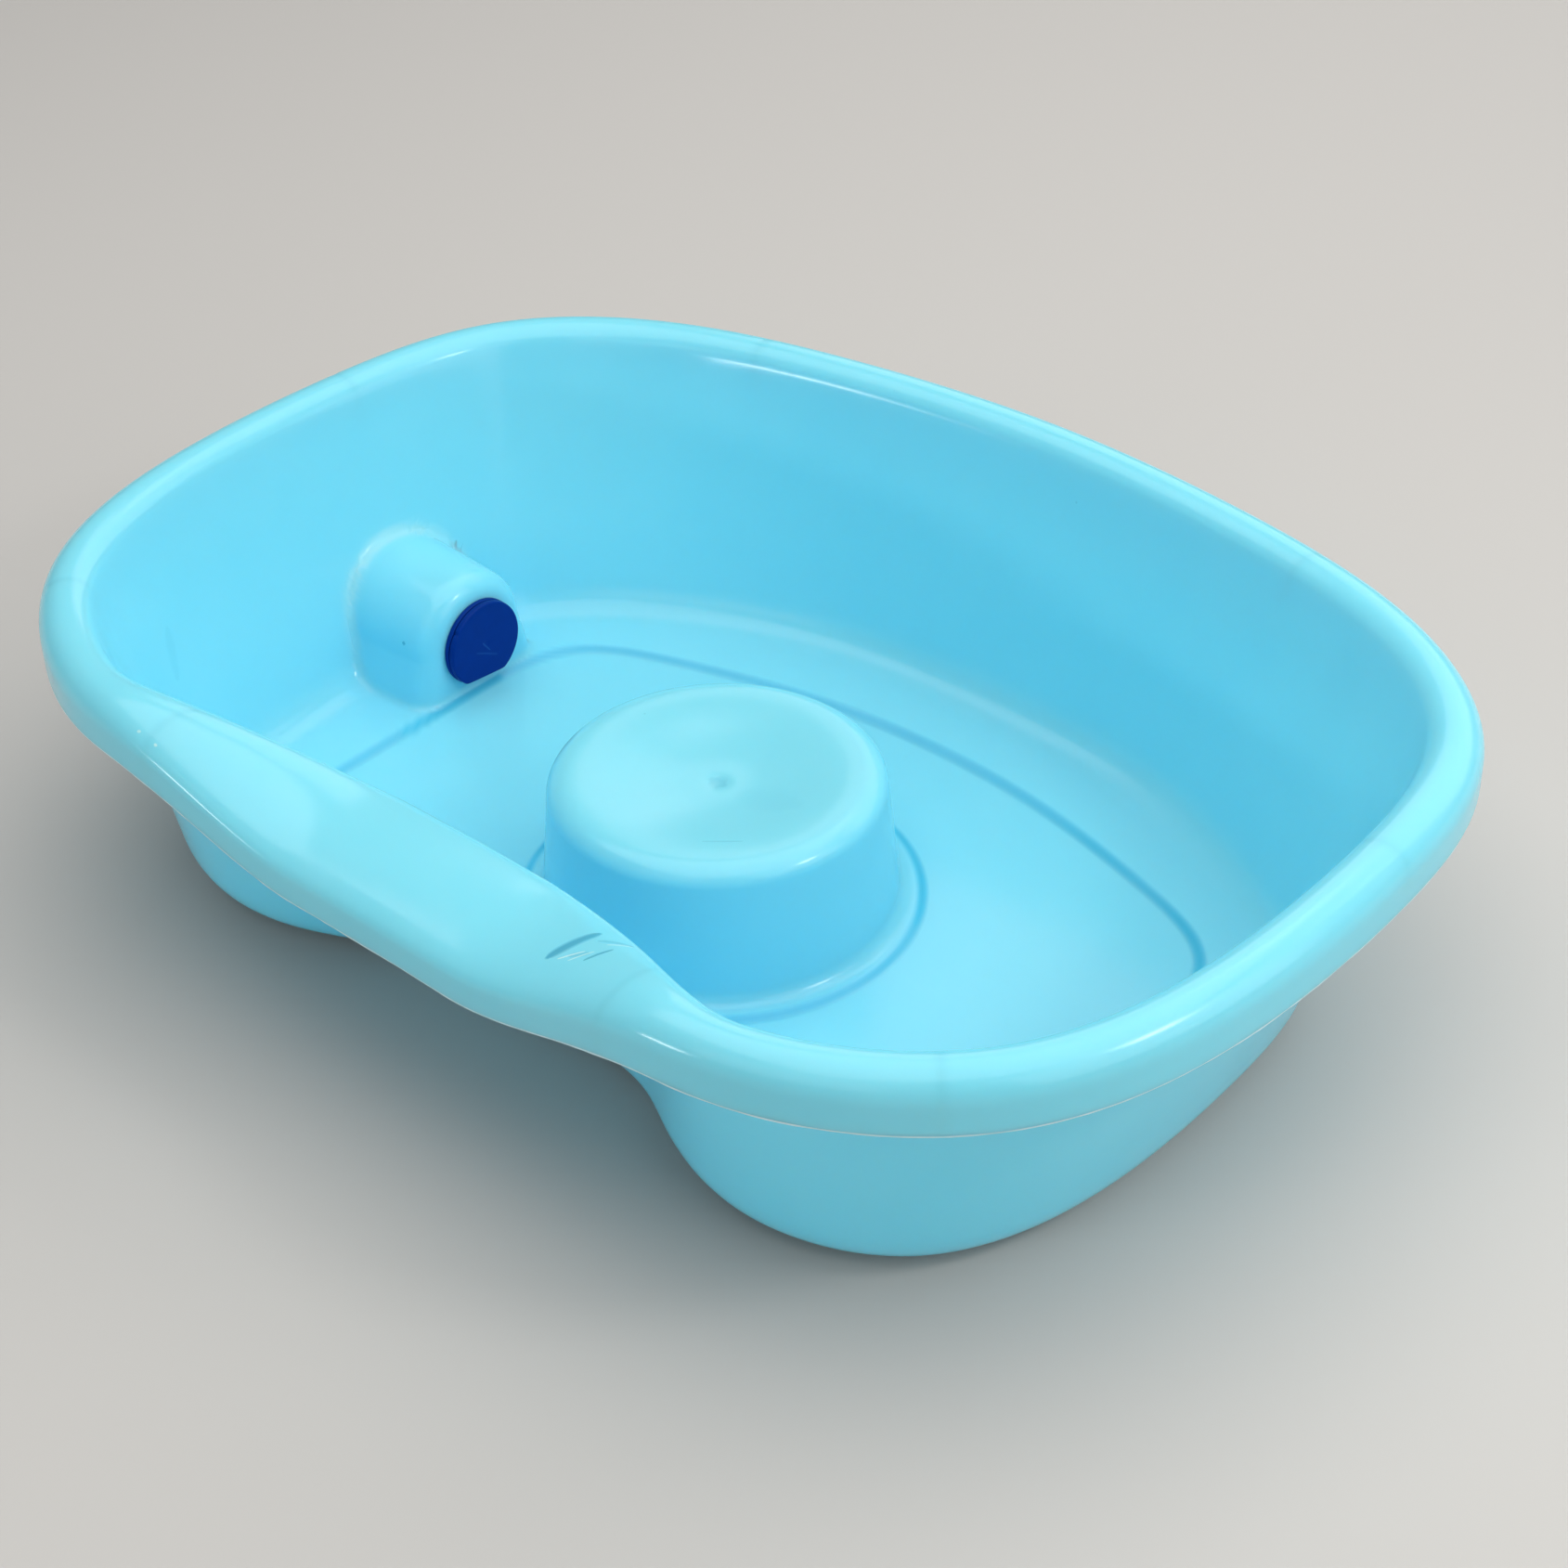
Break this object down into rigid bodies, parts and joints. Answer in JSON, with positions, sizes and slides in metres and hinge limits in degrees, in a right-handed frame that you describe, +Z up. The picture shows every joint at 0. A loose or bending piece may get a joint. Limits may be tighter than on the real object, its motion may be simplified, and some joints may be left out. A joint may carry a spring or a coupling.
{
  "type": "portable shampoo basin",
  "caption": "Wide oval hair-wash basin with a rolled rim, dipped neck rest, round dished head rest, and an end-wall drain with pull-out stopper.",
  "frame": {"origin": "centre of the basin's plan, on the underside of its floor", "axes": "+X along the basin, away from the end wall with the drain; +Y from the neck rest to the back; +Z up"},
  "size_m": [0.6, 0.433, 0.1385],
  "materials": {
    "shell": "smooth moulded polypropylene with a soft shine",
    "fitting": "smooth satin",
    "seal": "dull moulded rubber"
  },
  "bodies": {
    "basin": {"basin_shell": "shell", "drain_spout": "fitting", "spout_gasket": "seal", "spout_nut": "fitting"},
    "stopper": {"drain_stopper": "fitting", "stopper_o_ring": "seal"}
  },
  "joints": [
    {"name": "stopper_pull", "type": "slide", "parent": "basin", "child": "stopper", "axis": [1, 0, 0], "range_m": [0, 0.0165]}
  ]
}
